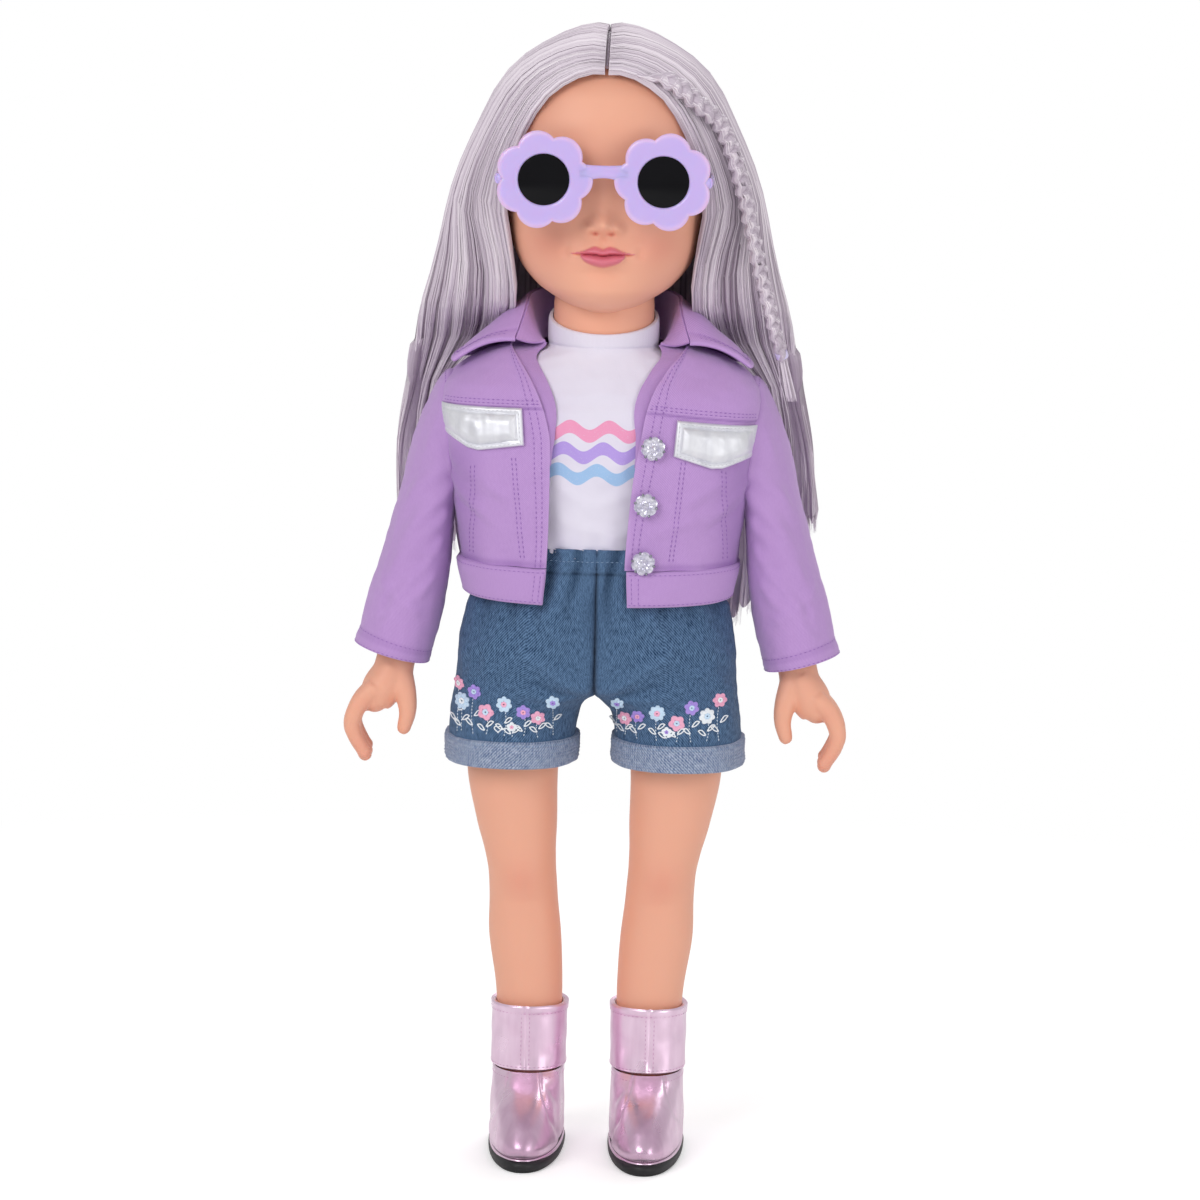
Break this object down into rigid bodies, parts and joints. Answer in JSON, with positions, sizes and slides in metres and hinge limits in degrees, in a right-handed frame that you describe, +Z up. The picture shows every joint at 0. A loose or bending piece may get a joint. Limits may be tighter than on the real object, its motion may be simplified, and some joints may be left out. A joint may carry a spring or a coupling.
{
  "type": "vinyl play doll",
  "caption": "Dressed 46 cm play doll: turning head with long hair and closing eyes, swinging arms and legs, jacket, tee, shorts, boots and slip-on flower sunglasses.",
  "frame": {"origin": "on the floor under the middle of the doll, between the boots and on the axis the head turns on", "axes": "+Z up the standing doll, the doll faces -Y and its own left is +X"},
  "size_m": [0.2038, 0.1158, 0.46],
  "materials": {
    "skin_vinyl": "soft satin vinyl with painted lips and a blush",
    "hair_fibre": "long rooted lilac-grey fibre with a silky sheen",
    "lilac_twill": "matt twill with double stitching",
    "white_jersey": "matt white jersey",
    "denim": "washed blue denim with an embroidered row of small flowers",
    "denim_reverse": "paler reverse side of the denim, turned up",
    "silver_foil": "silver foil-coated leather cloth, creased",
    "pink_foil": "mirror-bright pink-lilac foil-coated leather cloth",
    "black_rubber": "matt black",
    "lilac_plastic": "moulded, semi-gloss",
    "dark_lens": "opaque black, glossy",
    "clear_jewel": "faceted, silver-backed",
    "white_plastic": "moulded",
    "elastic": "woven elastic cord",
    "eye_plastic": "polished, with a painted iris and lid",
    "steel": "plain",
    "body_cloth": "stuffed cotton cloth"
  },
  "bodies": {
    "torso": {"torso": "body_cloth", "neck_plug": "white_plastic", "shoulder_elastic": "elastic", "hip_elastic": "elastic", "tee": "white_jersey", "tee_neckband": "white_jersey", "jacket_back": "lilac_twill", "jacket_left_front": "lilac_twill", "jacket_right_front": "lilac_twill", "jacket_back_waistband": "lilac_twill", "jacket_left_waistband": "lilac_twill", "jacket_right_waistband": "lilac_twill", "jacket_collar": "lilac_twill", "left_pocket_flap": "silver_foil", "right_pocket_flap": "silver_foil", "jacket_button_top": "clear_jewel", "jacket_button_middle": "clear_jewel", "jacket_button_bottom": "clear_jewel", "shorts_seat": "denim", "shorts_waistband": "denim"},
    "head": {"head": "skin_vinyl", "hair_crown": "hair_fibre", "hair_back": "hair_fibre", "left_hair_fall": "hair_fibre", "right_hair_fall": "hair_fibre", "braid": "hair_fibre"},
    "eyes": {"eye_rocker": "steel", "left_eye": "eye_plastic", "right_eye": "eye_plastic"},
    "sunglasses": {"sunglasses_frame": "lilac_plastic", "left_lens": "dark_lens", "right_lens": "dark_lens"},
    "left_arm": {"left_arm": "skin_vinyl", "left_arm_cup": "white_plastic", "left_sleeve": "lilac_twill"},
    "left_leg": {"left_leg": "skin_vinyl", "left_leg_cup": "white_plastic", "left_shorts_leg": "denim", "left_shorts_cuff": "denim_reverse", "left_boot_vamp": "pink_foil", "left_boot_shaft": "pink_foil", "left_boot_sole": "black_rubber", "left_boot_tab": "pink_foil"},
    "right_arm": {"right_arm": "skin_vinyl", "right_arm_cup": "white_plastic", "right_sleeve": "lilac_twill"},
    "right_leg": {"right_leg": "skin_vinyl", "right_leg_cup": "white_plastic", "right_shorts_leg": "denim", "right_shorts_cuff": "denim_reverse", "right_boot_vamp": "pink_foil", "right_boot_shaft": "pink_foil", "right_boot_sole": "black_rubber", "right_boot_tab": "pink_foil"}
  },
  "joints": [
    {"name": "head_turn", "type": "hinge", "parent": "torso", "child": "head", "pos_m": [0, 0, 0.331], "axis": [0, 0, 1], "range_deg": [-45, 45], "deforming": ["hair_back", "left_hair_fall", "right_hair_fall"]},
    {"name": "eye_close", "type": "hinge", "parent": "head", "child": "eyes", "pos_m": [0, -0.0285, 0.397], "axis": [1, 0, 0], "range_deg": [0, 60]},
    {"name": "glasses_off", "type": "slide", "parent": "head", "child": "sunglasses", "axis": [0, -1, 0], "range_m": [0, 0.05]},
    {"name": "left_shoulder", "type": "hinge", "parent": "torso", "child": "left_arm", "pos_m": [0.06, 0, 0.296], "axis": [-1, 0, 0], "range_deg": [-50, 120], "deforming": ["left_sleeve"]},
    {"name": "left_hip", "type": "hinge", "parent": "torso", "child": "left_leg", "pos_m": [0.029, 0, 0.206], "axis": [-1, 0, 0], "range_deg": [-15, 85], "deforming": ["shorts_seat", "left_shorts_leg", "left_shorts_cuff"]},
    {"name": "right_shoulder", "type": "hinge", "parent": "torso", "child": "right_arm", "pos_m": [-0.06, 0, 0.296], "axis": [-1, 0, 0], "range_deg": [-50, 120], "deforming": ["right_sleeve"]},
    {"name": "right_hip", "type": "hinge", "parent": "torso", "child": "right_leg", "pos_m": [-0.029, 0, 0.206], "axis": [-1, 0, 0], "range_deg": [-15, 85], "deforming": ["shorts_seat", "right_shorts_leg", "right_shorts_cuff"]}
  ]
}
